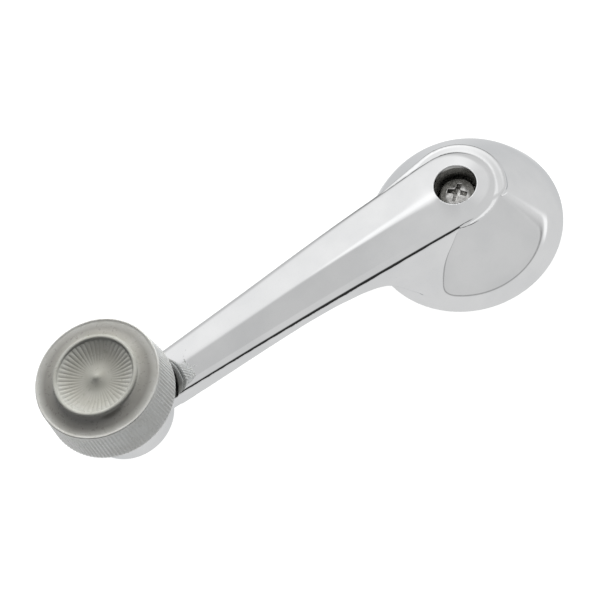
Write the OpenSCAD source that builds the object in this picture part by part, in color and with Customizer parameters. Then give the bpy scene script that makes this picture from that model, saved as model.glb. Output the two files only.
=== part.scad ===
// Car window crank handle: chromed arm with a round hub, and a free-turning grip knob.
// Millimetres. Z is the regulator shaft's axis and points away from the door, into the cabin.
// The origin is on that axis, in the plane of the hub's base. The arm runs along +X.

/* [Crank arm] */
// Distance from the shaft axis to the knob axis
crank_reach = 101.8; // [96:0.1:112]
// Half width of the arm's top face at the hub
arm_hub_half_w = 10.3; // [10:0.1:10.8]
// Half width of the arm's top face where it ends at the knob
arm_tip_half_w = 6.4; // [5.8:0.1:7]
// Thickness of the arm's top plate
arm_plate_t = 2.2; // [1.8:0.1:2.6]
// Thickness of the arm's side walls
arm_wall_t = 1.5; // [1.2:0.1:1.8]

/* [Hub] */
// Radius of the hub's base
hub_r = 26; // [25:0.1:28]
// Radius of the crease where the side band meets the dome
hub_crease_r = 23.5; // [22.8:0.1:24]
// Height of that crease above the base
hub_crease_z = 5.2; // [4.6:0.1:5.6]
// Radius of the shoulder that stands round the arm's end
hub_shoulder_r = 13.2; // [12.8:0.1:13.6]
// Height of the top face at the screw hole
hub_top_z = 21.5; // [21:0.1:22.5]
// Radius of the screw hole in the top face
screw_hole_r = 5.4; // [5:0.1:5.8]
// Wall thickness of the hollow hub
hub_wall_t = 2.2; // [1.8:0.1:2.6]

/* [Shaft socket] */
// Radius of the plain pilot at the socket's mouth
pilot_r = 5.2; // [5.1:0.1:5.6]
// Length of that pilot
pilot_len = 4; // [3:0.5:4]
// Radius at the crests of the serrations
serration_r = 4.6; // [4.3:0.1:4.8]
// Number of serrations
serration_count = 18; // [14:1:24]

/* [Retaining screw] */
// Radius of the pan head
head_r = 4.7; // [4:0.05:4.9]
// Height of the pan head
head_h = 2.8; // [2.4:0.1:3.2]
// Radius of the thread
thread_r = 2.5; // [2.3:0.1:2.6]
// Length of the screw under its head
screw_len = 10; // [8:0.5:11]

/* [Knob cup] */
// Outer radius of the cup at the arm's end
cup_r = 12.35; // [12:0.05:12.6]
// Height of the cup's rim above the hub's base plane
cup_rim_z = 2; // [1.5:0.1:2.5]
// Height of the cup from rim to top
cup_h = 8.4; // [8.2:0.1:8.8]
// Radius of the cup's bore
cup_bore_r = 9.9; // [9.6:0.1:10.2]

/* [Knob] */
// Radius of the knurled band at its back edge
knob_r = 17; // [16.6:0.1:17.4]
// Radius of the knurled band at the front shoulder
knob_shoulder_r = 16.1; // [15.8:0.1:16.4]
// Radius of the raised lip on the front
knob_lip_r = 10.45; // [10:0.05:10.8]
// Height of the lip's crest above the hub's base plane
knob_top_z = 30.2; // [29.5:0.1:31]
// Number of flutes around the knurled band
knurl_count = 108; // [96:4:120]

/* [Hidden] */
$fn = 96;
slip = 0.05;                      // running clearance on radius, and end float
cup_top_z = cup_rim_z + cup_h;
cup_floor_z = cup_top_z - 3;
hub_edge_z = hub_top_z - 0.9;     // height of the top face's edge at the hub

// Stations along the arm: [x, half width, edge height, ridge height, bottom height]
tip_x = crank_reach - 15;
mid_x = 60;
near_x = 30;
arm = [
    [0, arm_hub_half_w - 0.15, hub_edge_z - 0.1, hub_top_z - 0.25, 15.5],
    [near_x, 9.2, 17.95, 19.7, 13],
    [mid_x, 7.6, 14.7, 15.75, 10.4],
    [tip_x, arm_tip_half_w, 11.5, 12.3, 5.9]
];

// Shaft socket and screw seat, from the base up
bush_z1 = 9;
bush_r = 7;
socket_boss_r = 8.8;
seat_z = 13.5;
lock_washer_t = 1.1;
head_z = seat_z + lock_washer_t;
screw_clear_r = thread_r + 0.25;

// Stack on the knob's stud, from the cup's mouth up
stud_r = 2;
stud_end_z = cup_rim_z + 1;
keeper_z0 = stud_end_z + 0.7;
keeper_z1 = keeper_z0 + 2.2;
fibre_t = 0.7;
fibre_z0 = keeper_z1 + slip;
spring_z0 = fibre_z0 + fibre_t;
neck_washer_t = 0.9;
neck_z1 = cup_top_z + neck_washer_t;
knob_back_z = neck_z1 + slip;
stud_bush_r = 3.4;

// Knob heights
knob_shoulder_z = knob_top_z - 1.85;
cove_h = 1.5;                     // rise of the cove below the lip's rounded crest
dish_d = 1.5;                     // depth of the dish
dish_r = knob_lip_r - 0.85;
knurl_z0 = 16.2;
knob_socket_z = 24.4;
core_r = 5;
core_bore_r = 2.8;
core_z1 = 24.2;

// Points along an arc in the profile plane, centre (cx, cz), from angle a0 to a1
function arc(cx, cz, r, a0, a1, steps = 8) =
    [for (i = [0:steps]) let (a = a0 + (a1 - a0) * i / steps) [cx + r * cos(a), cz + r * sin(a)]];

// Height of the dish's surface at a radius: deepest half way out, with a bump at the centre
function dish_z(r) =
    knob_top_z - 0.6 - dish_d * pow(sin(180 * pow(r / dish_r, 0.75)), 1.2) - 0.6 * cos(90 * r / dish_r);

// A ring between two radii and two heights
module ring(r_out, r_in, z0, z1) {
    translate([0, 0, z0])
        difference() {
            cylinder(r = r_out, h = z1 - z0);
            translate([0, 0, -1])
                cylinder(r = r_in, h = z1 - z0 + 2);
        }
}

module at_knob() {
    translate([crank_reach, 0, 0])
        children();
}

// Thin cross-section of the arm at a station, with the ridged roof
module arm_section(s) {
    translate([s[0], 0, 0])
        rotate([90, 0, 90])
            linear_extrude(0.02)
                polygon([[-s[1], s[4]], [s[1], s[4]], [s[1], s[2]], [0, s[3]], [-s[1], s[2]]]);
}

// Thin cross-section of the hollow under the arm
module channel_section(x, half_w, z_low, z_high) {
    translate([x, 0, 0])
        rotate([90, 0, 90])
            linear_extrude(0.02)
                polygon([[-half_w, z_low], [half_w, z_low], [half_w, z_high], [-half_w, z_high]]);
}

module arm_body() {
    for (i = [0:len(arm) - 2])
        hull() {
            arm_section(arm[i]);
            arm_section(arm[i + 1]);
        }
}

module arm_channel() {
    inset = arm_wall_t;
    hull() {
        channel_section(near_x + 9, arm[1][1] - inset - 0.5, 6, arm[1][2] - arm_plate_t - 1);
        channel_section(mid_x, arm[2][1] - inset, 5, arm[2][2] - arm_plate_t);
    }
    hull() {
        channel_section(mid_x, arm[2][1] - inset, 5, arm[2][2] - arm_plate_t);
        channel_section(tip_x, arm[3][1] - inset, 1, arm[3][2] - arm_plate_t);
    }
}

// Skirt that flares the arm's sides down into the hub's cone
module skirt() {
    hull() {
        translate([0, 0, 5.6])
            cylinder(r1 = 18.2, r2 = 11, h = 13.6, $fn = 32);
        channel_section(near_x - 1, 9.5, 12.2, 17.2);
    }
}

// Hollow inside the skirt, open below the arm and joined to the arm's channel
module skirt_hollow() {
    hull() {
        translate([0, 0, 3])
            cylinder(r1 = 16.6, r2 = 9.4, h = 13.2, $fn = 32);
        channel_section(near_x + 11, 6.9, 9, 13.6);
    }
}

// Outer profile of the hub: side band, cone, rounded shoulder and the plate's edge
module hub_solid() {
    rotate_extrude()
        polygon(concat(
            [[0, 0], [hub_r, 0]],
            [[hub_r - 0.5, 2.6], [hub_crease_r, hub_crease_z]],
            [[hub_shoulder_r, 18]],
            arc(hub_shoulder_r - 1, hub_edge_z - 1.5, 1, 0, 90, 5),
            [[arm_hub_half_w + 0.4, hub_edge_z - 0.5], [arm_hub_half_w, hub_edge_z]],
            [[screw_hole_r + 1, hub_top_z], [0, hub_top_z]]
        ));
}

// Hollow under the hub, round the socket boss
module hub_hollow() {
    rotate_extrude()
        polygon([[socket_boss_r, -1], [hub_r - hub_wall_t, -1], [hub_r - hub_wall_t - 0.5, 2],
            [hub_crease_r - hub_wall_t, 4.4], [11.2, 17], [socket_boss_r, 17]]);
}

module cup_solid() {
    at_knob()
        rotate_extrude()
            polygon(concat(
                [[0, cup_rim_z], [cup_r - 1, cup_rim_z]],
                arc(cup_r - 1, cup_rim_z + 1, 1, -90, 0, 6),
                arc(cup_r - 0.5, cup_top_z - 0.5, 0.5, 0, 90, 4),
                [[0, cup_top_z]]
            ));
}

// Stepped bore of the cup, and the seat of the stud's bush
module cup_bores() {
    at_knob() {
        translate([0, 0, cup_rim_z - 1])
            cylinder(r = cup_bore_r, h = cup_floor_z - 1.6 - cup_rim_z + 1);
        translate([0, 0, cup_rim_z])
            cylinder(r = cup_bore_r - 1.2, h = cup_floor_z - 0.8 - cup_rim_z);
        translate([0, 0, cup_rim_z])
            cylinder(r = cup_bore_r - 2.2, h = cup_floor_z - cup_rim_z);
        translate([0, 0, cup_rim_z])
            cylinder(r = stud_bush_r, h = cup_h + 1);
    }
}

// Bridge from the arm's end to the cup, below the ledge
module tip_bridge() {
    translate([0, 0, 5.9])
        linear_extrude(cup_top_z - 5.9)
            polygon([[tip_x - 3, -arm_tip_half_w], [crank_reach - 8, -5.8],
                [crank_reach - 8, 5.8], [tip_x - 3, arm_tip_half_w]]);
}

module crank_casting() {
    color("gainsboro")
        difference() {
            union() {
                difference() {
                    union() {
                        arm_body();
                        skirt();
                    }
                    arm_channel();
                    // sloping end face, concentric with the knob
                    at_knob()
                        translate([0, 0, cup_top_z])
                            cylinder(r1 = 15.3, r2 = 21.3, h = 4.8);
                    skirt_hollow();
                    hub_hollow();
                }
                difference() {
                    hub_solid();
                    hub_hollow();
                }
                difference() {
                    tip_bridge();
                    translate([tip_x - 4, -4.9, 5])
                        cube([6.5, 9.8, 3.2]);
                }
                cup_solid();
                // round ejector boss on the channel's floor
                translate([crank_reach - 23, 0, 7.2])
                    cylinder(r = 2.75, h = 4);
            }
            cup_bores();
            translate([0, 0, seat_z])
                cylinder(r = screw_hole_r, h = 20);
            translate([0, 0, -1])
                cylinder(r = screw_clear_r, h = 20);
            translate([0, 0, -1])
                cylinder(r = bush_r, h = bush_z1 + 1);
        }
}

// Steel bush pressed into the hub: plain pilot at the mouth, serrations above it
module shaft_bush() {
    color("slategray")
        difference() {
            cylinder(r = bush_r, h = bush_z1);
            translate([0, 0, -1])
                cylinder(r = pilot_r, h = pilot_len + 1);
            cylinder(r = serration_r, h = 20);
            for (i = [0:serration_count - 1])
                rotate(i * 360 / serration_count)
                    translate([serration_r, 0, 0])
                        rotate(45)
                            translate([-0.4, -0.4, 0])
                                cube([0.8, 0.8, 20]);
        }
}

// Flanged bearing bush in the cup's floor
module stud_bush() {
    color("darkkhaki")
        at_knob()
            ring(stud_bush_r, stud_r + slip, cup_floor_z, cup_top_z);
}

// Dished spring washer that takes up the knob's end float
module spring_washer() {
    color("silver")
        at_knob()
            rotate_extrude()
                polygon([[3, spring_z0], [3.4, spring_z0], [7.2, cup_floor_z - 0.45],
                    [7.2, cup_floor_z], [6.8, cup_floor_z], [3, spring_z0 + 0.45]]);
}

module fibre_washer() {
    color("sienna")
        at_knob()
            ring(6.3, stud_r + slip, fibre_z0, fibre_z0 + fibre_t);
}

// Black washer between the cup's top and the knob's back
module neck_washer() {
    color("dimgray")
        at_knob()
            ring(9.6, 3.6, cup_top_z, neck_z1);
}

// Cross-shaped driver recess, measured down from the head's top
module cross_recess(top_z) {
    rotate(45)
        translate([0, 0, top_z - 1.9])
            for (a = [0, 90])
                rotate(a)
                    translate([-2.5, -0.55, 0])
                        cube([5, 1.1, 4]);
}

module retaining_screw() {
    color("lightgray")
        difference() {
            union() {
                rotate_extrude()
                    polygon(concat(
                        [[0, head_z], [head_r, head_z]],
                        arc(head_r - 1, head_z + head_h - 1.2, 1, 0, 70, 5),
                        [[0, head_z + head_h]]
                    ));
                translate([0, 0, head_z - screw_len + 0.6])
                    cylinder(r = thread_r, h = screw_len - 0.6);
                translate([0, 0, head_z - screw_len])
                    cylinder(r1 = thread_r - 0.6, r2 = thread_r, h = 0.6);
            }
            cross_recess(head_z + head_h);
        }
}

// Split spring washer under the screw's head
module lock_washer() {
    color("gray")
        difference() {
            ring(4.3, screw_clear_r, seat_z + slip, head_z);
            rotate(60)
                translate([2, -0.25, seat_z - 1])
                    cube([4, 0.5, 4]);
        }
}

// Front of the knob: knurled band, cove, raised lip and fluted dish
module knob_cap() {
    color([0.6, 0.59, 0.56])
        at_knob()
            difference() {
                rotate_extrude()
                    polygon(concat(
                        [[0, knurl_z0], [knob_r - 0.4, knurl_z0], [knob_r, knurl_z0 + 0.7]],
                        arc(knob_shoulder_r - 0.5, knob_shoulder_z - 0.5, 0.5, 0, 90, 4),
                        // cove that rises from the shoulder to the lip
                        [for (i = [1:8]) let (t = i / 8)
                            [knob_shoulder_r - 0.5 - t * (knob_shoulder_r - 0.9 - knob_lip_r),
                                knob_shoulder_z + cove_h * pow(t, 2.4)]],
                        arc(knob_lip_r, knob_top_z - 0.4, 0.4, 20, 150, 5),
                        // dish with a low bump at its centre
                        [for (i = [0:9]) let (r = dish_r * (1 - i / 10)) [r, dish_z(r)]],
                        [[0, dish_z(dish_r / 10)]]
                    ));
                // knurl
                for (i = [0:knurl_count - 1])
                    rotate(i * 360 / knurl_count)
                        translate([knob_r + 0.05, 0, knurl_z0 + 1.4])
                            rotate([0, -4.4, 0])
                                rotate(45)
                                    translate([-0.3, -0.3, 0])
                                        cube([0.6, 0.6, 20]);
                // room for the back half's spigot and the core
                translate([0, 0, knurl_z0 - 1])
                    cylinder(r = 13.8, h = 4);
                translate([0, 0, knurl_z0 - 1])
                    cylinder(r = 7, h = knob_socket_z - knurl_z0 + 1);
            }
}

// Back of the knob: bulged bell with a spigot that fits inside the front
module knob_back() {
    color([0.62, 0.61, 0.58])
        at_knob()
            difference() {
                union() {
                    rotate_extrude()
                        polygon(concat(
                            [[0, knob_back_z], [9.2, knob_back_z]],
                            arc(10.2, knob_back_z + 5.2, 5.6, -75, -12, 7),
                            [[knob_r - 0.6, knurl_z0], [0, knurl_z0]]
                        ));
                    translate([0, 0, knurl_z0])
                        cylinder(r = 13.7, h = 2.8);
                    translate([0, 0, knurl_z0])
                        cylinder(r = 6.9, h = 7.8);
                }
                translate([0, 0, knob_back_z + 0.4])
                    cylinder(r = core_r + 0.02, h = 20);
                translate([0, 0, knob_back_z - 1])
                    cylinder(r = 3.6, h = 4);
            }
}

// Metal core that the plastic grips, bored for the stud
module knob_core() {
    color("darkgray")
        at_knob()
            ring(core_r, core_bore_r, knob_back_z + 0.45, core_z1);
}

// Shouldered stud: head in the core, journal through the cup's floor, peened end
module knob_stud() {
    color("silver")
        at_knob() {
            translate([0, 0, knob_back_z])
                cylinder(r = core_bore_r - 0.01, h = core_z1 - knob_back_z);
            translate([0, 0, keeper_z0])
                cylinder(r = stud_r, h = knob_back_z - keeper_z0);
            translate([0, 0, stud_end_z])
                cylinder(r1 = 1.7, r2 = 2.3, h = keeper_z0 - stud_end_z);
        }
}

// Thick dark washer that holds the stud in the cup
module keeper_washer() {
    color([0.2, 0.17, 0.15])
        at_knob()
            ring(5.7, stud_r, keeper_z0, keeper_z1);
}

crank_casting();
shaft_bush();
stud_bush();
spring_washer();
fibre_washer();
neck_washer();
retaining_screw();
lock_washer();
knob_cap();
knob_back();
knob_core();
knob_stud();
keeper_washer();
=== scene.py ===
import math

import bpy
import numpy as np
from mathutils import Matrix, Vector


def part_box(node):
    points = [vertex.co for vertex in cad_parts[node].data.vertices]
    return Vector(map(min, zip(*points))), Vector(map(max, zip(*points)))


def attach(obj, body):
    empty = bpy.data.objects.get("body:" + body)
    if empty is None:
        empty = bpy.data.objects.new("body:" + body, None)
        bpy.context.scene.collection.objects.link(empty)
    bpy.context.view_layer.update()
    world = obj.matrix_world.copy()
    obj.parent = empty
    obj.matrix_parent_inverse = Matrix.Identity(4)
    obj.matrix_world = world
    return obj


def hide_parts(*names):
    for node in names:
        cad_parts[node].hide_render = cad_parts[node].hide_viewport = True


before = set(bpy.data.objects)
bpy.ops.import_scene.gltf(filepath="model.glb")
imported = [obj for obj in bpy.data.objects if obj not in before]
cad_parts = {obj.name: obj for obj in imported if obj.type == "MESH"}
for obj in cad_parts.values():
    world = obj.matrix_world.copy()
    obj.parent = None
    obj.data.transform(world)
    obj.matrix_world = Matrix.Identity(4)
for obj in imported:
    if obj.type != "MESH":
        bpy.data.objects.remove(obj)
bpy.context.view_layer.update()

MM = 0.001


# ---------------------------------------------------------------- places, from the CAD model

def corners(node):
    """The low and high corner of a CAD node's box, in millimetres."""
    low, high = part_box(node)
    return np.array(low) / MM, np.array(high) / MM


cap_lo, cap_hi = corners("knob_cap")
KNOB_X = (cap_lo[0] + cap_hi[0]) / 2
KNOB_TOP = cap_hi[2]
KNURL_Z = cap_lo[2]
CUP_RIM = corners("knob_stud")[0][2] - 1
CUP_TOP = corners("neck_washer")[0][2]
HEAD_LO, HEAD_HI = corners("retaining_screw")
SEAT_Z = corners("lock_washer")[0][2] - 0.05


# ---------------------------------------------------------------- smooth solids as fields, in millimetres

def fillet(a, b, r):
    """Union of two solids with a concave fillet of radius r where they meet square."""
    return np.maximum(r, np.minimum(a, b)) - np.hypot(np.maximum(r - a, 0), np.maximum(r - b, 0))


def blend(a, b, k):
    """Union of two solids with a soft blend k wide."""
    h = np.maximum(k - np.abs(a - b), 0) / k
    return np.minimum(a, b) - h * h * h * k / 6


def trim(a, b, r):
    """Intersection of two solids with its edge rounded to radius r."""
    return np.minimum(-r, np.maximum(a, b)) + np.hypot(np.maximum(r + a, 0), np.maximum(r + b, 0))


def curve_through(points, soft=3.0):
    """A smooth function of x through a few stations."""
    xs = np.array([p[0] for p in points], float)
    ys = np.array([p[1] for p in points], float)
    fine = np.arange(xs[0] - 12, xs[-1] + 12, 0.1)
    inner = np.interp(fine, xs, ys)
    inner = np.where(fine < xs[0], ys[0] + (fine - xs[0]) * (ys[1] - ys[0]) / (xs[1] - xs[0]), inner)
    inner = np.where(fine > xs[-1], ys[-1] + (fine - xs[-1]) * (ys[-1] - ys[-2]) / (xs[-1] - xs[-2]), inner)
    kernel = np.exp(-np.arange(-3 * soft, 3 * soft + 0.05, 0.1) ** 2 / (2 * soft * soft))
    kernel /= kernel.sum()
    half = len(kernel) // 2
    before = 2 * inner[0] - inner[half:0:-1]
    after = 2 * inner[-1] - inner[-2:-half - 2:-1]
    padded = np.concatenate([before, inner, after])
    smooth = np.convolve(padded, kernel, "valid")
    return lambda x: np.interp(x, fine, smooth)


# along the arm: half width of the top plate, height of its edge and of its ridge, height of the arm's
# underside, and how far the sides flare out per millimetre down
half_width = curve_through([(0, 10.7), (10, 10.15), (20, 9.75), (30, 9.3), (60, 7.6), (90, 6.2)], 4)
edge_z = curve_through([(0, 20.6), (15, 19.35), (30, 18.1), (40, 17.1), (50, 15.95), (60, 14.7),
                        (70, 13.5), (90, 11.1)], 3)
ridge_z = curve_through([(0, 21.4), (8, 21.2), (16, 20.8), (30, 19.65), (46, 17.8), (62, 15.55),
                         (72, 14.2), (83, 12.7), (90, 11.8)], 3)
bottom_z = curve_through([(18, 3), (21, 4), (23, 6), (25, 8.8), (27, 10.9), (30, 12.3), (34, 13.2),
                          (42, 13.5), (50, 12.7), (60, 10.9), (80, 7.1), (90, 5.6)], 1.0)
flare = curve_through([(-4, 0.53), (14.5, 0.53), (16, 0.47), (18, 0.37), (20, 0.25), (24, 0.12),
                       (28, 0.06), (34, 0.03), (90, 0.03)], 1.0)

CUP_R, CUP_BORE = 12.35, 9.9
HOLE_R = 5.4
CREASE_R, CREASE_Z = 23.4, 5.2      # where the hub's side band meets its cone
DISC_R = 12.9                       # the raised disc round the plate's end
WALL = 1.7                          # thickness of the hollow casting
PLATE_LIP = 0.45                    # how far the plate's edge stands out from its half width
ARM_END_R = 15.4                    # the arm ends on this radius round the knob's axis


def casting_parts(x, y, z):
    """The outer skins of the casting, open below: hub with its disc, arm, and the bare hub."""
    r = np.hypot(x, y)
    xp = 0.6 + 0.5 * (x - 0.6 + np.sqrt((x - 0.6) ** 2 + 9))
    ya = np.hypot(x - xp, y)
    w, e, t = half_width(xp), edge_z(xp), ridge_z(xp)
    crown = 1.15 * np.exp(-(xp / 4.2) ** 2)
    slope = (t + crown - e) / w
    roof = 0.98 * (z - e - slope * (w - np.sqrt(ya * ya + 1.2)))
    chamfer = 0.55 * (ya - w + 0.6) + 0.835 * (z - e)
    wall = ya - w - PLATE_LIP - 0.03 * np.maximum(e - 0.5 - z, 0)
    flank = 0.9 * (ya - w - PLATE_LIP + 0.1 - np.maximum(e - 0.8 - z, 0) * flare(x))
    flank = np.maximum(flank, z - e + 0.8)
    arm = blend(trim(trim(roof, chamfer, 0.45), wall, 0.25), flank, 0.2)
    # hub: side band, cone, and the raised disc that carries the ledge round the plate
    side = 0.8944 * (r - CREASE_R) + 0.4472 * (z - CREASE_Z)
    cone = 0.7793 * (r - CREASE_R) + 0.6266 * (z - CREASE_Z)
    ledge = z - e + 0.5 + 0.05 * (ya - 11)
    ledge_round = 0.12 + 0.68 * np.clip((9 - y) / 5, 0, 1)
    hub = trim(-blend(-side, -cone, 0.9), ledge, ledge_round)
    beside = -y - w - PLATE_LIP - 1.9 * np.clip(1 - np.maximum(x - 2, 0) / 17, 0, 1)
    beside = np.maximum(np.maximum(beside, y), np.abs(x - 9.5) - 10.5)
    disc = np.minimum(trim(r - DISC_R, y - 8.6, 2.0), beside)
    disc = np.maximum(trim(disc, ledge, 0.8), 9 - z)
    return blend(hub, disc, 0.6), arm, hub


def casting(x, y, z):
    """The whole casting: hub, arm, bridge and cup, hollowed from below, with its bores."""
    low, arm, hub = casting_parts(x, y, z)
    rk = np.hypot(x - KNOB_X, y)
    r = np.hypot(x, y)
    hollow = blend(low, np.maximum(arm, 4 - z - 3 * np.maximum(x - 19, 0)), 0.4) + WALL
    # the arm's end face, concentric with the knob, and the bridge and cup beyond it
    end = 0.89 * (ARM_END_R + np.maximum(z - CUP_TOP, 0) * 0.55 - rk)
    under = np.maximum(bottom_z(x), 2.5) - z
    arm = trim(trim(arm, under, 0.5), end, 0.25)
    softness = 0.05 + 0.85 * (1 - np.tanh((z - 15) / 3))
    solid = blend(trim(low, -z, 0.35), arm, softness)
    sides = trim(np.abs(y) - half_width(x) - 0.5, z - CUP_TOP, 0.3)
    bridge = trim(trim(sides, bottom_z(x) - z, 0.5), np.abs(x - KNOB_X + 13) - 5, 0.1)
    solid = fillet(solid, bridge, 0.35)
    cup = trim(trim(rk - CUP_R, z - CUP_TOP, 0.5), CUP_RIM - z, 1.1)
    # the hollow under hub and arm; the wall of the hub runs on below the arm
    wall = trim(trim(hub, -z, 0.35), -hub - WALL, 0.4)
    hollow = np.maximum(np.maximum(hollow, 8.8 - r), x - 85.5)
    pocket = np.maximum(np.maximum(np.abs(y) - 4.9, z - 8.2), np.maximum(84 - x, rk - 16.2))
    solid = np.minimum(trim(solid, -hollow, 0.4), wall)
    solid = trim(solid, -pocket, 0.3)
    boss = np.maximum(np.hypot(x - KNOB_X + 23, y) - 2.75, np.abs(z - 10) - 2.6)
    solid = fillet(solid, boss, 0.3)
    solid = fillet(solid, cup, 0.3)
    # stepped cup bore, screw hole, screw clearance and bush seat
    bore = np.maximum(rk - CUP_BORE, z - 5.8)
    bore = np.minimum(bore, np.maximum(rk - CUP_BORE + 1.2, z - 6.6))
    bore = np.minimum(bore, np.maximum(rk - CUP_BORE + 2.2, z - 7.4))
    bore = np.minimum(bore, rk - 3.4)
    solid = trim(solid, -bore, 0.3)
    hole = np.maximum(r - HOLE_R, SEAT_Z - z)
    solid = trim(solid, -hole, 0.25)
    solid = np.maximum(solid, 2.75 - r)
    return np.maximum(solid, -np.maximum(r - 7, z - 9))


def mesh_of(field, low, high, step):
    """Points and quads of the surface where the field is zero, with each point moved onto it."""
    axes = [np.arange(a, b + step, step) for a, b in zip(low, high)]
    nx, ny, nz = (len(a) for a in axes)
    values = np.empty((nx, ny, nz), np.float32)
    for i in range(0, nx, 24):
        gx, gy, gz = np.meshgrid(axes[0][i:i + 24], axes[1], axes[2], indexing="ij")
        values[i:i + 24] = field(gx, gy, gz)
    inside = values < 0
    count = sum(inside[i:nx - 1 + i, j:ny - 1 + j, k:nz - 1 + k].astype(np.int8)
                for i in (0, 1) for j in (0, 1) for k in (0, 1))
    cells = np.argwhere((count > 0) & (count < 8))
    index = np.full((nx - 1, ny - 1, nz - 1), -1, np.int32)
    index[tuple(cells.T)] = np.arange(len(cells))
    total = np.zeros((len(cells), 3))
    number = np.zeros(len(cells))
    for axis in range(3):
        for a in (0, 1):
            for b in (0, 1):
                start = np.insert([a, b], axis, 0)
                stop = np.insert([a, b], axis, 1)
                v0 = values[tuple((cells + start).T)].astype(float)
                v1 = values[tuple((cells + stop).T)].astype(float)
                crossing = (v0 < 0) != (v1 < 0)
                share = np.where(crossing, v0 / np.where(crossing, v0 - v1, 1), 0)
                point = start + np.outer(share, stop - start)
                total += point * crossing[:, None]
                number += crossing
    points = (cells + total / number[:, None]) * step + np.array([a[0] for a in axes])
    quads = []
    for axis in range(3):
        u, v = [a for a in range(3) if a != axis]
        take = [slice(1, -1)] * 3
        take[axis] = slice(0, -1)
        shifted = [slice(1, -1)] * 3
        shifted[axis] = slice(1, None)
        s0, s1 = inside[tuple(take)], inside[tuple(shifted)]
        edge = np.argwhere(s0 != s1)
        base = edge + 1
        base[:, axis] -= 1
        ring = []
        for du, dv in ((-1, -1), (0, -1), (0, 0), (-1, 0)):
            at = base.copy()
            at[:, u] += du
            at[:, v] += dv
            ring.append(index[tuple(at.T)])
        quad = np.stack(ring, 1)
        flip = s0[tuple(edge.T)] == (axis == 1)
        quad[flip] = quad[flip][:, ::-1]
        quads.append(quad)
    quads = np.concatenate(quads)
    for _ in range(5):
        value, slope = field_and_slope(field, points)
        move = slope * (value / np.maximum((slope * slope).sum(1), 0.2))[:, None]
        length = np.linalg.norm(move, axis=1)
        points -= move * np.minimum(1, 0.4 * step / np.maximum(length, 1e-9))[:, None]
    return largest_part(points, quads, field_and_slope(field, points)[1])


def largest_part(points, quads, slopes):
    """The largest connected part of a mesh, without the specks a grid leaves in thin corners."""
    label = np.arange(len(points))
    while True:
        lower = label.copy()
        np.minimum.at(lower, quads.ravel(), np.repeat(label[quads].min(1), 4))
        lower = lower[lower]
        if (lower == label).all():
            break
        label = lower
    kept = label == np.bincount(label).argmax()
    index = np.cumsum(kept) - 1
    return points[kept], index[quads[kept[quads[:, 0]]]], slopes[kept]


def field_and_slope(field, points, eps=0.01):
    """The field at some points, and its slope there."""
    x, y, z = points.T
    gx = field(x + eps, y, z) - field(x - eps, y, z)
    gy = field(x, y + eps, z) - field(x, y - eps, z)
    gz = field(x, y, z + eps) - field(x, y, z - eps)
    return field(x, y, z), np.stack([gx, gy, gz], 1) / (2 * eps)


# ---------------------------------------------------------------- Blender meshes

def mesh_object(name, points, faces, normals=None):
    """A smooth-shaded object from points in millimetres, with its own normals where they are given."""
    mesh = bpy.data.meshes.new(name)
    points = np.asarray(points, float) * MM
    faces = faces if isinstance(faces, list) else faces.tolist()
    mesh.from_pydata(points.tolist(), [], faces)
    mesh.polygons.foreach_set("use_smooth", np.ones(len(faces), bool))
    mesh.validate()
    if normals is not None:
        unit = normals / np.linalg.norm(normals, axis=1)[:, None]
        mesh.normals_split_custom_set_from_vertices(unit.tolist())
    obj = bpy.data.objects.new(name, mesh)
    bpy.context.scene.collection.objects.link(obj)
    return obj


def piece(obj, body, node, material, extra=()):
    """An object that rides on a body in place of a CAD node, with its materials."""
    obj.data.materials.append(material)
    for other in extra:
        obj.data.materials.append(other)
    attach(obj, body)
    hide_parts(node)
    return obj


def soften(points, radius, steps=4):
    """A closed (r, z) outline with every corner rounded; corners on the axis stay."""
    made = []
    count = len(points)
    for i, here in enumerate(points):
        before, after = points[i - 1], points[(i + 1) % count]
        here, before, after = (np.array(p, float) for p in (here, before, after))
        if here[0] < 1e-6:
            made.append(tuple(here))
            continue
        a, b = before - here, after - here
        la, lb = np.linalg.norm(a), np.linalg.norm(b)
        cut = min(radius, 0.45 * la, 0.45 * lb)
        start, stop = here + a / la * cut, here + b / lb * cut
        for k in range(steps + 1):
            t = k / steps
            made.append(tuple((1 - t) ** 2 * start + 2 * t * (1 - t) * here + t * t * stop))
    return made


def lathe(name, outline, centre_x, segments=128, shift=None, closed=True):
    """A turned piece. shift(r, z, angle) moves the points of each ring by (dr, dz)."""
    outline = np.array(outline, float)
    angle = np.arange(segments) * 2 * np.pi / segments
    r = np.repeat(outline[:, :1], segments, 1)
    z = np.repeat(outline[:, 1:], segments, 1)
    if shift is not None:
        dr, dz = shift(r, z, angle[None, :])
        r, z = r + dr, z + dz
    points = np.stack([centre_x + r * np.cos(angle), r * np.sin(angle), z], 2).reshape(-1, 3)
    rows = len(outline)
    i = np.arange(rows if closed else rows - 1)[:, None]
    j = np.arange(segments)[None, :]
    nxt, jn = (i + 1) % rows, (j + 1) % segments
    ring = [i * segments + j, i * segments + jn, nxt * segments + jn, nxt * segments + j]
    quads = np.stack(ring, 2).reshape(-1, 4)
    on_axis = np.flatnonzero(outline[:, 0] < 1e-6)
    faces = quads
    if len(on_axis):
        remap = np.arange(len(points))
        for row in on_axis:
            remap[row * segments:(row + 1) * segments] = row * segments
        faces = remap[quads]
        kept = []
        for f in faces.tolist():
            seen = [v for k, v in enumerate(f) if v != f[k - 1]]
            if len(seen) > 2 and len(set(seen)) == len(seen):
                kept.append(seen)
        used = sorted({v for f in kept for v in f})
        place = {v: k for k, v in enumerate(used)}
        points = points[used]
        faces = [[place[v] for v in f] for f in kept]
    return mesh_object(name, points, faces)


# ---------------------------------------------------------------- materials

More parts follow.
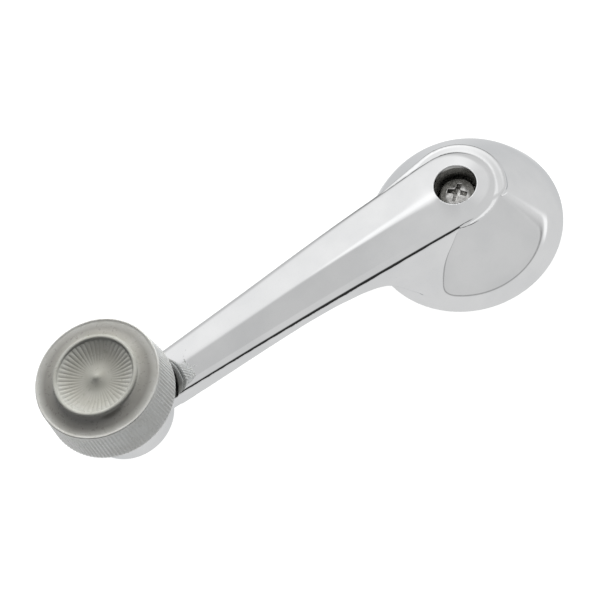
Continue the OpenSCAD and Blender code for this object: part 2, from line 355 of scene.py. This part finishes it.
def material(name, colour, metallic, roughness, build, **settings):
    """A Principled material; build adds its nodes, and settings go to the shader's own sockets."""
    made = bpy.data.materials.new(name)
    made.use_nodes = True
    tree = made.node_tree
    shader = tree.nodes["Principled BSDF"]
    shader.inputs["Base Color"].default_value = (*colour, 1)
    shader.inputs["Metallic"].default_value = metallic
    shader.inputs["Roughness"].default_value = roughness
    for key, value in settings.items():
        shader.inputs[key.replace("_", " ")].default_value = value
    build(tree, shader)
    return made


def coordinates(tree, stretch=(1, 1, 1)):
    """Object coordinates in millimetres."""
    source = tree.nodes.new("ShaderNodeTexCoord")
    mapping = tree.nodes.new("ShaderNodeMapping")
    mapping.inputs["Scale"].default_value = [k / MM for k in stretch]
    tree.links.new(source.outputs["Object"], mapping.inputs["Vector"])
    return mapping.outputs["Vector"]


def noise(tree, vector, scale, detail=3.0, rough=0.55):
    node = tree.nodes.new("ShaderNodeTexNoise")
    node.inputs["Scale"].default_value = scale
    node.inputs["Detail"].default_value = detail
    node.inputs["Roughness"].default_value = rough
    tree.links.new(vector, node.inputs["Vector"])
    return node.outputs["Fac"]


def between(tree, value, low, high, to_low, to_high, step="LINEAR"):
    """The value, mapped from one range to another and held at its ends."""
    node = tree.nodes.new("ShaderNodeMapRange")
    node.interpolation_type = step
    for key, number in zip(("From Min", "From Max", "To Min", "To Max"), (low, high, to_low, to_high)):
        node.inputs[key].default_value = number
    tree.links.new(value, node.inputs["Value"])
    return node.outputs["Result"]


def two_tone(tree, value, dark, light):
    node = tree.nodes.new("ShaderNodeMix")
    node.data_type = "RGBA"
    node.inputs["A"].default_value = (*dark, 1)
    node.inputs["B"].default_value = (*light, 1)
    tree.links.new(value, node.inputs["Factor"])
    return node.outputs["Result"]


def bump(tree, shader, height, strength, distance):
    node = tree.nodes.new("ShaderNodeBump")
    node.inputs["Strength"].default_value = strength
    node.inputs["Distance"].default_value = distance * MM
    tree.links.new(height, node.inputs["Height"])
    tree.links.new(node.outputs["Normal"], shader.inputs["Normal"])


def finish_surface(scale, tones, rough, grain, depth, stretch=(1, 1, 1)):
    """Colour, roughness and a fine bump, all from noise of one scale."""
    def build(tree, shader):
        vector = coordinates(tree, stretch)
        broad = noise(tree, vector, scale)
        fine = noise(tree, vector, grain, 4.0)
        mottle = two_tone(tree, between(tree, broad, 0.35, 0.65, 0, 1), *tones)
        tree.links.new(mottle, shader.inputs["Base Color"])
        tree.links.new(between(tree, fine, 0.3, 0.7, *rough), shader.inputs["Roughness"])
        bump(tree, shader, fine, 0.5, depth)
    return build


chrome = material(
    "chrome", (0.62, 0.625, 0.63), 1, 0.04,
    finish_surface(0.09, ((0.60, 0.605, 0.61), (0.64, 0.643, 0.646)), (0.03, 0.07), 1.3, 0.0006),
    Specular_Tint=(0.75, 0.76, 0.77, 1))
chrome_inside = material(
    "chrome_inside", (0.3, 0.3, 0.29), 1, 0.3,
    finish_surface(0.5, ((0.25, 0.25, 0.235), (0.36, 0.355, 0.34)), (0.22, 0.42), 3.0, 0.02))
socket_steel = material(
    "socket_steel", (0.3, 0.3, 0.31), 1, 0.35,
    finish_surface(0.8, ((0.24, 0.24, 0.25), (0.36, 0.36, 0.37)), (0.25, 0.45), 4.0, 0.01))
bronze = material(
    "bearing_bronze", (0.42, 0.3, 0.16), 1, 0.35,
    finish_surface(1.0, ((0.36, 0.25, 0.13), (0.48, 0.35, 0.2)), (0.28, 0.45), 5.0, 0.01))
spring_steel = material(
    "spring_steel", (0.45, 0.44, 0.42), 1, 0.25,
    finish_surface(0.7, ((0.38, 0.37, 0.35), (0.5, 0.49, 0.47)), (0.18, 0.35), 5.0, 0.008))
fibre = material(
    "fibre", (0.13, 0.06, 0.035), 0, 0.7,
    finish_surface(1.5, ((0.09, 0.04, 0.025), (0.18, 0.085, 0.05)), (0.6, 0.85), 7.0, 0.04))
black_washer = material(
    "black_washer", (0.012, 0.012, 0.012), 0, 0.45,
    finish_surface(1.0, ((0.009, 0.009, 0.009), (0.02, 0.019, 0.018)), (0.38, 0.6), 6.0, 0.02))
zinc = material(
    "screw_zinc", (0.5, 0.495, 0.485), 1, 0.2,
    finish_surface(1.2, ((0.36, 0.355, 0.345), (0.66, 0.655, 0.64)), (0.12, 0.34), 1.6, 0.06))
core_metal = material(
    "core_metal", (0.3, 0.29, 0.27), 1, 0.4,
    finish_surface(1.0, ((0.25, 0.24, 0.22), (0.35, 0.34, 0.32)), (0.3, 0.5), 5.0, 0.01))
stud_steel = material(
    "stud_steel", (0.6, 0.59, 0.57), 1, 0.22,
    finish_surface(1.5, ((0.5, 0.49, 0.47), (0.66, 0.65, 0.63)), (0.15, 0.4), 6.0, 0.02))
keeper = material(
    "keeper", (0.035, 0.026, 0.02), 0.3, 0.6,
    finish_surface(1.2, ((0.022, 0.017, 0.014), (0.06, 0.043, 0.033)), (0.45, 0.75), 5.0, 0.05))


def smoked_plastic_painted_light(tree, shader):
    """Smoked plastic with painted light: its colour ramp on the radius paints shade that makes it deep and
    brown in the cove round the lip, and paints highlight that makes it paler on its thin edges and its
    knurl.
    """
    vector = coordinates(tree)
    parts = tree.nodes.new("ShaderNodeSeparateXYZ")
    tree.links.new(vector, parts.inputs[0])
    flat = tree.nodes.new("ShaderNodeCombineXYZ")
    shifted = tree.nodes.new("ShaderNodeMath")
    shifted.operation = "SUBTRACT"
    shifted.inputs[1].default_value = KNOB_X
    tree.links.new(parts.outputs["X"], shifted.inputs[0])
    tree.links.new(shifted.outputs[0], flat.inputs["X"])
    tree.links.new(parts.outputs["Y"], flat.inputs["Y"])
    radius = tree.nodes.new("ShaderNodeVectorMath")
    radius.operation = "LENGTH"
    tree.links.new(flat.outputs[0], radius.inputs[0])
    # painted light: this ramp on the distance from the knob's axis paints shade into the cove and paints
    # highlight on the lip, the shoulder and the knurled band
    tones = tree.nodes.new("ShaderNodeValToRGB")
    painted_light_stops = [(0, (0.2, 0.2, 0.178)), (7, (0.2, 0.198, 0.175)), (9.8, (0.27, 0.272, 0.25)),
             (10.5, (0.26, 0.262, 0.24)), (11.6, (0.175, 0.172, 0.155)), (13.5, (0.135, 0.132, 0.12)),
             (15.2, (0.25, 0.25, 0.235)), (15.8, (0.33, 0.33, 0.315)), (16.1, (0.42, 0.43, 0.42))]
    elements = tones.color_ramp.elements
    while len(elements) < len(painted_light_stops):
        elements.new(0.5)
    for element, (place, colour) in zip(elements, painted_light_stops):
        element.position = place / 20
        element.color = (*colour, 1)
    tree.links.new(between(tree, radius.outputs["Value"], 0, 20, 0, 1), tones.inputs["Fac"])
    broad = noise(tree, vector, 0.16)
    fine = noise(tree, vector, 1.1, 2.0)
    shade = tree.nodes.new("ShaderNodeMix")
    shade.data_type = "RGBA"
    shade.blend_type = "MULTIPLY"
    shade.inputs["Factor"].default_value = 1
    tree.links.new(tones.outputs["Color"], shade.inputs["A"])
    mottle = two_tone(tree, between(tree, broad, 0.35, 0.65, 0, 1), (0.9, 0.89, 0.87), (1.05, 1.05, 1.05))
    tree.links.new(mottle, shade.inputs["B"])
    tree.links.new(shade.outputs["Result"], shader.inputs["Base Color"])
    tree.links.new(between(tree, fine, 0.3, 0.7, 0.26, 0.34), shader.inputs["Roughness"])
    bump(tree, shader, fine, 0.2, 0.001)


# the knob's plastic, with light and shade painted into its colour by radius
plastic = material("knob_plastic", (0.25, 0.24, 0.215), 0, 0.3, smoked_plastic_painted_light,
                   Subsurface_Weight=0.15, Subsurface_Scale=0.001,
                   Coat_Weight=0.6, Coat_Roughness=0.08, IOR=1.49)
plastic.node_tree.nodes["Principled BSDF"].inputs["Subsurface Radius"].default_value = (1.0, 0.95, 0.85)


# ---------------------------------------------------------------- the casting

STEP = 0.3
points, quads, slopes = mesh_of(casting, (-27, -27, -1), (115.4, 27, 23), STEP)
body = mesh_object("crank_body", points, quads, slopes)
middle = points[quads].mean(1)
x, y, z = middle.T
low, arm, _ = casting_parts(x, y, z)
# faces under the skin, away from the rim and the cup, are the unpolished inside
off_shell = (np.abs(low) > 0.5) | ((arm < -1.2) & (z > 6))
inside = (np.minimum(low, arm) < -0.6) & off_shell & (z > 0.4) & (np.hypot(x - KNOB_X, y) > 19.5)
piece(body, "crank", "crank_casting", chrome, [chrome_inside])
body.data.polygons.foreach_set("material_index", inside.astype(np.int32))


# ---------------------------------------------------------------- socket, washers, stud

bush_lo, bush_hi = corners("shaft_bush")
bush_r, bush_top = bush_hi[0], bush_hi[2]


def serrate(r, z, angle):
    """The splines inside the upper bore of the socket."""
    wave = 0.5 + 0.5 * np.cos(18 * angle)
    inner = (r < 5) & (z > 4.2)
    return np.where(inner, 0.55 * wave ** 1.5, 0), np.zeros_like(r)


outline = soften([(bush_r, 0), (bush_r, bush_top), (4.6, bush_top), (4.6, 4.3), (5.2, 4), (5.2, 0)], 0.25)
bush = lathe("shaft_socket_bush", outline, 0, 18 * 16, serrate)
piece(bush, "crank", "shaft_bush", socket_steel)


def plain_ring(name, inner, outer, low, high, corner, segments):
    """A flat ring round the knob's axis."""
    outline = [(outer, low), (outer, high), (inner, high), (inner, low)]
    return lathe(name, soften(outline, corner), KNOB_X, segments)


turned = plain_ring("stud_bearing", 2.05, 3.4, CUP_TOP - 3, CUP_TOP, 0.15, 96)
piece(turned, "crank", "stud_bush", bronze)

lo, hi = corners("spring_washer")
dish = soften([(3, lo[2]), (3.4, lo[2]), (7.2, hi[2] - 0.45), (7.2, hi[2]),
               (6.8, hi[2]), (3, lo[2] + 0.45)], 0.12)
turned = lathe("dished_spring", dish, KNOB_X, 128)
piece(turned, "crank", "spring_washer", spring_steel)

lo, hi = corners("fibre_washer")
turned = plain_ring("fibre_ring", 2.05, 6.3, lo[2], hi[2], 0.2, 96)
piece(turned, "crank", "fibre_washer", fibre)

lo, hi = corners("neck_washer")
turned = plain_ring("neck_ring", 3.6, 9.6, lo[2], hi[2], 0.3, 160)
piece(turned, "crank", "neck_washer", black_washer)

lo, hi = corners("keeper_washer")
turned = plain_ring("keeper_disc", 2, 5.7, lo[2], hi[2], 0.45, 128)
piece(turned, "knob", "keeper_washer", keeper)

lo, hi = corners("knob_core")
turned = plain_ring("core_sleeve", 2.8, 5, lo[2], hi[2], 0.3, 96)
piece(turned, "knob", "knob_core", core_metal)

lo, hi = corners("knob_stud")


def peen(r, z, angle):
    """The uneven rim that peening left at the stud's lower end."""
    ragged = 0.12 * np.sin(5 * angle + 0.6) + 0.07 * np.sin(11 * angle)
    low = np.clip((lo[2] + 1.0 - z) / 0.8, 0, 1)
    return np.where(r > 0.1, ragged * low * r / 2.3, 0), 0.06 * low * np.sin(3 * angle) * r


stud = [(0, lo[2] + 0.35), (0.55, lo[2] + 0.3), (0.9, lo[2]), (1.7, lo[2] + 0.02),
        (2.25, lo[2] + 0.35), (2.3, lo[2] + 0.7),
        (2, lo[2] + 0.72), (2, 11.35), (2.79, 11.35), (2.79, hi[2] - 0.3), (2.5, hi[2]), (0, hi[2])]
turned = lathe("knob_pin", soften(stud, 0.15), KNOB_X, 96, peen, closed=False)
piece(turned, "knob", "knob_stud", stud_steel)


# ---------------------------------------------------------------- retaining screw and lock washer

THREAD_R = 2.5
PITCH = 0.8
DOME_R = 9.4


def screw_field(x, y, z):
    """The pan head with its cross recess, and the threaded shank."""
    r = np.hypot(x, y)
    angle = np.arctan2(y, x)
    top = HEAD_HI[2]
    seat = top - 2.8
    head = trim(r - HEAD_HI[0], np.sqrt(r * r + (z - top + DOME_R) ** 2) - DOME_R, 0.45)
    head = trim(head, seat - z, 0.12)
    phase = z / PITCH - angle / (2 * np.pi)
    wave = np.abs(phase - np.floor(phase) - 0.5) * 2
    shank = 0.8 * (r - THREAD_R + 0.42 * wave * np.clip((seat - 0.8 - z) / 0.5, 0, 1))
    tip = 0.75 * (r - 1.9 - (z - HEAD_LO[2]))
    shank = np.maximum(np.maximum(shank, tip), np.maximum(HEAD_LO[2] - z, z - seat - 1))
    solid = fillet(head, shank, 0.12)
    u, v = (x + y) * 0.7071, (x - y) * 0.7071
    depth = top - z
    reach = 2.75 - 0.35 * depth
    half = 0.6 - 0.08 * depth
    cross = np.minimum(np.maximum(np.abs(u) - reach, np.abs(v) - half),
                       np.maximum(np.abs(v) - reach, np.abs(u) - half))
    cross = fillet(cross, r - 1.05 + 0.25 * depth, 0.3)
    cross = np.maximum(cross, depth - 2.3)
    return trim(solid, -cross, 0.12)


step = 0.1
low, high = (-5.1, -5.1, HEAD_LO[2] - 0.4), (5.1, 5.1, HEAD_HI[2] + 0.4)
points, quads, slopes = mesh_of(screw_field, low, high, step)
screw = mesh_object("pan_head_screw", points, quads, slopes)
piece(screw, "screw", "retaining_screw", zinc)


SPLIT = math.radians(60)


def spring_ring(x, y, z):
    """A split lock washer, with its ends sprung a little apart."""
    r = np.hypot(x, y)
    turn = (np.arctan2(y, x) - SPLIT) % (2 * np.pi) / (2 * np.pi)
    lift = 0.12 * (turn - 0.5)
    ring = trim(np.abs(r - 3.52) - 0.76, np.abs(z - SEAT_Z - 0.575 - lift) - 0.42, 0.15)
    along = x * math.cos(SPLIT) + y * math.sin(SPLIT)
    across = -x * math.sin(SPLIT) + y * math.cos(SPLIT)
    gap = np.maximum(np.abs(across) - 0.25, -along)
    return np.maximum(ring, -gap)


points, quads, slopes = mesh_of(spring_ring, (-4.6, -4.6, SEAT_Z - 0.3), (4.6, 4.6, SEAT_Z + 1.5), step)
ring = mesh_object("split_lock_ring", points, quads, slopes)
piece(ring, "screw", "lock_washer", zinc)


# ---------------------------------------------------------------- knob

LIP_R = 10.35
LIP_ROUND = 0.62
KNURL_R, KNURL_TAPER = 17.0, 0.93
SHOULDER_Z = KNOB_TOP - 1.85
KNURL_TEETH = 108
DISH_RAYS = 48
top = []
# back edge and knurled band
top += [(0.0, KNURL_Z + 0.2), (13.0, KNURL_Z + 0.2), (16.1, KNURL_Z + 0.05),
        (16.5, KNURL_Z + 0.2), (16.85, KNURL_Z + 0.6), (KNURL_R, KNURL_Z + 1.1)]
top += [(KNURL_R - KNURL_TAPER * t, KNURL_Z + 1.1 + (SHOULDER_Z - KNURL_Z - 1.45) * t)
        for t in np.linspace(0.06, 1, 16)]
# shoulder, cove and lip
top += [(KNURL_R - KNURL_TAPER - 0.28 * (1 - math.cos(a)), SHOULDER_Z - 0.3 + 0.3 * math.sin(a))
        for a in np.linspace(0.3, 1.5, 5)]
top += [(15.7 - 0.5 * t, SHOULDER_Z - 0.15 * math.sin(math.pi / 2 * t)) for t in np.linspace(0.1, 1, 6)]
top += [(15.2 - 4.2 * t, SHOULDER_Z - 0.15 + 1.35 * t ** 2.2) for t in np.linspace(0.05, 1, 20)]
top += [(LIP_R + LIP_ROUND * math.cos(a), KNOB_TOP - LIP_ROUND + LIP_ROUND * math.sin(a))
        for a in np.linspace(0.1, 2.5, 14)]
DISH = LIP_R - 0.52
for r in np.concatenate([np.linspace(DISH - 0.05, 5.5, 22), np.linspace(5.3, 0.4, 22)]):
    s = r / DISH
    depth = 1.3 * math.sin(math.pi * s ** 0.85) + 0.75 * math.cos(math.pi / 2 * s) + 0.05
    top.append((r, KNOB_TOP - 0.35 - depth))
top.append((0.0, top[-1][1]))


def flutes(r, z, angle):
    """The teeth of the knurled band, and the rays of the dish."""
    band = np.clip((z - KNURL_Z - 0.5) / 0.5, 0, 1) * np.clip((SHOULDER_Z - 0.1 - z) / 0.5, 0, 1)
    band = np.clip((r - 15.9) / 0.3, 0, 1) * band
    knurl = -0.16 * band * (0.5 - 0.5 * np.cos(KNURL_TEETH * angle)) ** 0.7
    front = (z > SHOULDER_Z - 1) & (r < DISH + 0.1)
    share = np.clip(r / DISH, 0, 1)
    weight = np.clip((DISH + 0.05 - r) / 0.8, 0, 1) * np.clip(1.4 * share - 0.4, 0, 1) ** 1.4
    weight = np.where(front, weight, 0)
    ray = 0.14 * weight * (np.abs(np.sin(DISH_RAYS / 2 * angle)) - 0.6)
    return knurl, ray


knob = lathe("knob_front", top, KNOB_X, 864, flutes, closed=False)
piece(knob, "knob", "knob_cap", plastic)

back_z = corners("knob_back")[0][2]
bell = [(0.0, back_z), (8.9, back_z)]
bell += [(10.2 + 5.6 * math.cos(a) * 0.96, back_z + 5.0 + 5.3 * math.sin(a) * 0.9)
         for a in np.radians(np.linspace(-88, -20, 18))]
bell += [(15.75, KNURL_Z - 1.0), (16.1, KNURL_Z - 0.75), (16.35, KNURL_Z - 0.35),
         (16.2, KNURL_Z - 0.05), (15.0, KNURL_Z + 0.1), (0.0, KNURL_Z + 0.1)]
bell = lathe("knob_bell", bell, KNOB_X, 256, closed=False)
piece(bell, "knob", "knob_back", plastic)


# ---------------------------------------------------------------- floor, light and camera

def floor_material():
    """A pale floor that takes soft shadows, and is clear when seen from below."""
    made = bpy.data.materials.new("floor")
    made.use_nodes = True
    tree = made.node_tree
    shader = tree.nodes["Principled BSDF"]
    shader.inputs["Base Color"].default_value = (0.12, 0.12, 0.12, 1)
    shader.inputs["Roughness"].default_value = 0.9
    shader.inputs["Specular IOR Level"].default_value = 0
    shader.inputs["Emission Color"].default_value = (1, 1, 1, 1)
    shader.inputs["Emission Strength"].default_value = 1.0
    clear = tree.nodes.new("ShaderNodeBsdfTransparent")
    side = tree.nodes.new("ShaderNodeNewGeometry")
    mix = tree.nodes.new("ShaderNodeMixShader")
    out = tree.nodes["Material Output"]
    tree.links.new(side.outputs["Backfacing"], mix.inputs[0])
    tree.links.new(shader.outputs[0], mix.inputs[1])
    tree.links.new(clear.outputs[0], mix.inputs[2])
    tree.links.new(mix.outputs[0], out.inputs["Surface"])
    return made


size = 1600
ends = [(-size, -size, -0.4), (size, -size, -0.4), (size, size, -0.4), (-size, size, -0.4)]
floor = mesh_object("floor", ends, [[0, 1, 2, 3]])
floor.data.materials.append(floor_material())
floor.visible_glossy = False


def panel(name, place, target, width, height, power):
    """A soft rectangular light that points from a place to a target, in millimetres."""
    light = bpy.data.lights.new(name, "AREA")
    light.shape = "RECTANGLE"
    light.size, light.size_y = width * MM, height * MM
    light.energy = power
    obj = bpy.data.objects.new(name, light)
    bpy.context.scene.collection.objects.link(obj)
    start, stop = Vector(place) * MM, Vector(target) * MM
    obj.location = start
    obj.rotation_mode = "QUATERNION"
    obj.rotation_quaternion = (stop - start).to_track_quat("-Z", "Y")
    obj.visible_glossy = False
    return obj


panel("key", (-230, -440, 380), (70, 0, 10), 320, 240, 12)
panel("fill", (60, 300, 600), (60, 0, 10), 600, 400, 0.4)

world = bpy.data.worlds.new("studio")
bpy.context.scene.world = world
world.cycles_visibility.diffuse = False
world.use_nodes = True
tree = world.node_tree
tree.nodes.clear()
source = tree.nodes.new("ShaderNodeTexCoord")
background = tree.nodes.new("ShaderNodeBackground")
output = tree.nodes.new("ShaderNodeOutputWorld")
tree.links.new(background.outputs[0], output.inputs["Surface"])


def ramp(value, low, high, to_low, to_high):
    """A smooth step of the value between two limits."""
    return between(tree, value, low, high, to_low, to_high, "SMOOTHSTEP")


def toward(direction, inner, outer, low, high):
    """A value that is high within inner degrees of a direction and low beyond outer degrees."""
    dot = tree.nodes.new("ShaderNodeVectorMath")
    dot.operation = "DOT_PRODUCT"
    dot.inputs[1].default_value = Vector(direction).normalized()
    tree.links.new(source.outputs["Generated"], dot.inputs[0])
    far, near = (math.cos(math.radians(angle)) for angle in (outer, inner))
    return ramp(dot.outputs["Value"], far, near, low, high)


def arithmetic(operation, a, b):
    """One sum on the world's values; a and b are each a number or an output."""
    node = tree.nodes.new("ShaderNodeMath")
    node.operation = operation
    for slot, value in enumerate((a, b)):
        if isinstance(value, (int, float)):
            node.inputs[slot].default_value = value
        else:
            tree.links.new(value, node.inputs[slot])
    return node.outputs[0]


def aim(azimuth, elevation):
    """The direction at these angles, in degrees from +X and above the floor."""
    a, e = math.radians(azimuth), math.radians(elevation)
    return math.cos(a) * math.cos(e), math.sin(a) * math.cos(e), math.sin(e)


parts = tree.nodes.new("ShaderNodeSeparateXYZ")
tree.links.new(source.outputs["Generated"], parts.inputs[0])
# a white floor and pale walls
room = ramp(parts.outputs["Z"], -0.01, 0.03, 1.0, 0.86)
room = arithmetic("ADD", room, ramp(parts.outputs["Z"], 0.03, 0.6, 0.0, 0.06))
# a thin dark line where floor and walls meet, with a bright edge below it on one side
line = ramp(arithmetic("ABSOLUTE", arithmetic("ADD", parts.outputs["Z"], 0.02), 0), 0.006, 0.035, 0.5, 0)
line = arithmetic("MULTIPLY", line, ramp(parts.outputs["X"], -0.98, -0.88, 0, 1))
room = arithmetic("SUBTRACT", room, line)
glint = ramp(arithmetic("ABSOLUTE", arithmetic("ADD", parts.outputs["Z"], 0.1), 0), 0.02, 0.05, 0.5, 0)
glint = arithmetic("MULTIPLY", glint, ramp(parts.outputs["X"], -0.93, -0.8, 1, 0))
room = arithmetic("ADD", room, arithmetic("MULTIPLY", glint, ramp(parts.outputs["Y"], 0.12, 0.26, 0, 1)))
# a dark skirting behind the crank
dark = ramp(arithmetic("ABSOLUTE", arithmetic("ADD", parts.outputs["Z"], -0.03), 0), 0.1, 0.2, 0.7, 0)
dark = arithmetic("MULTIPLY", dark, ramp(parts.outputs["Y"], -0.7, -0.4, 1, 0))
room = arithmetic("SUBTRACT", room, arithmetic("MULTIPLY", dark, ramp(parts.outputs["X"], -0.1, 0.1, 1, 0)))
# the dark shape of a person at the camera, and soft boxes beyond the crank
room = arithmetic("MULTIPLY", room, toward(aim(77, 50), 12, 18, 1.0, 0.04))
room = arithmetic("ADD", room, toward(aim(-92, 40), 16, 32, 0.0, 0.36))
room = arithmetic("ADD", room, toward(aim(-97, 60), 8, 14, 0.0, 0.3))
room = arithmetic("ADD", room, toward(aim(-132, 54), 10, 24, 0.0, 0.12))
room = arithmetic("ADD", room, toward(aim(-50, 68), 5, 15, 0.0, -0.12))
tree.links.new(room, background.inputs["Strength"])
background.inputs["Color"].default_value = (1, 1, 1, 1)

camera = bpy.data.cameras.new("camera")
view = bpy.data.objects.new("camera", camera)
bpy.context.scene.collection.objects.link(view)
camera.sensor_width = 36
camera.lens = 89.274
camera.clip_start, camera.clip_end = 0.01, 10
# the camera looks at the middle of the part from these angles, and is rolled about its own axis
AZIMUTH, ELEVATION, ROLL = 85.8, 61.67, -26.64
TARGET, DISTANCE = Vector((48.32, 0.37, 10.35)), 384
back = Vector(aim(AZIMUTH, ELEVATION))
right = Matrix.Rotation(math.radians(ROLL), 3, back) @ Vector(aim(AZIMUTH + 90, 0))
turn = Matrix((right, back.cross(right), back)).transposed().to_4x4()
view.matrix_world = Matrix.Translation((TARGET + DISTANCE * back) * MM) @ turn
bpy.context.scene.camera = view
bpy.context.scene.view_settings.view_transform = "Standard"
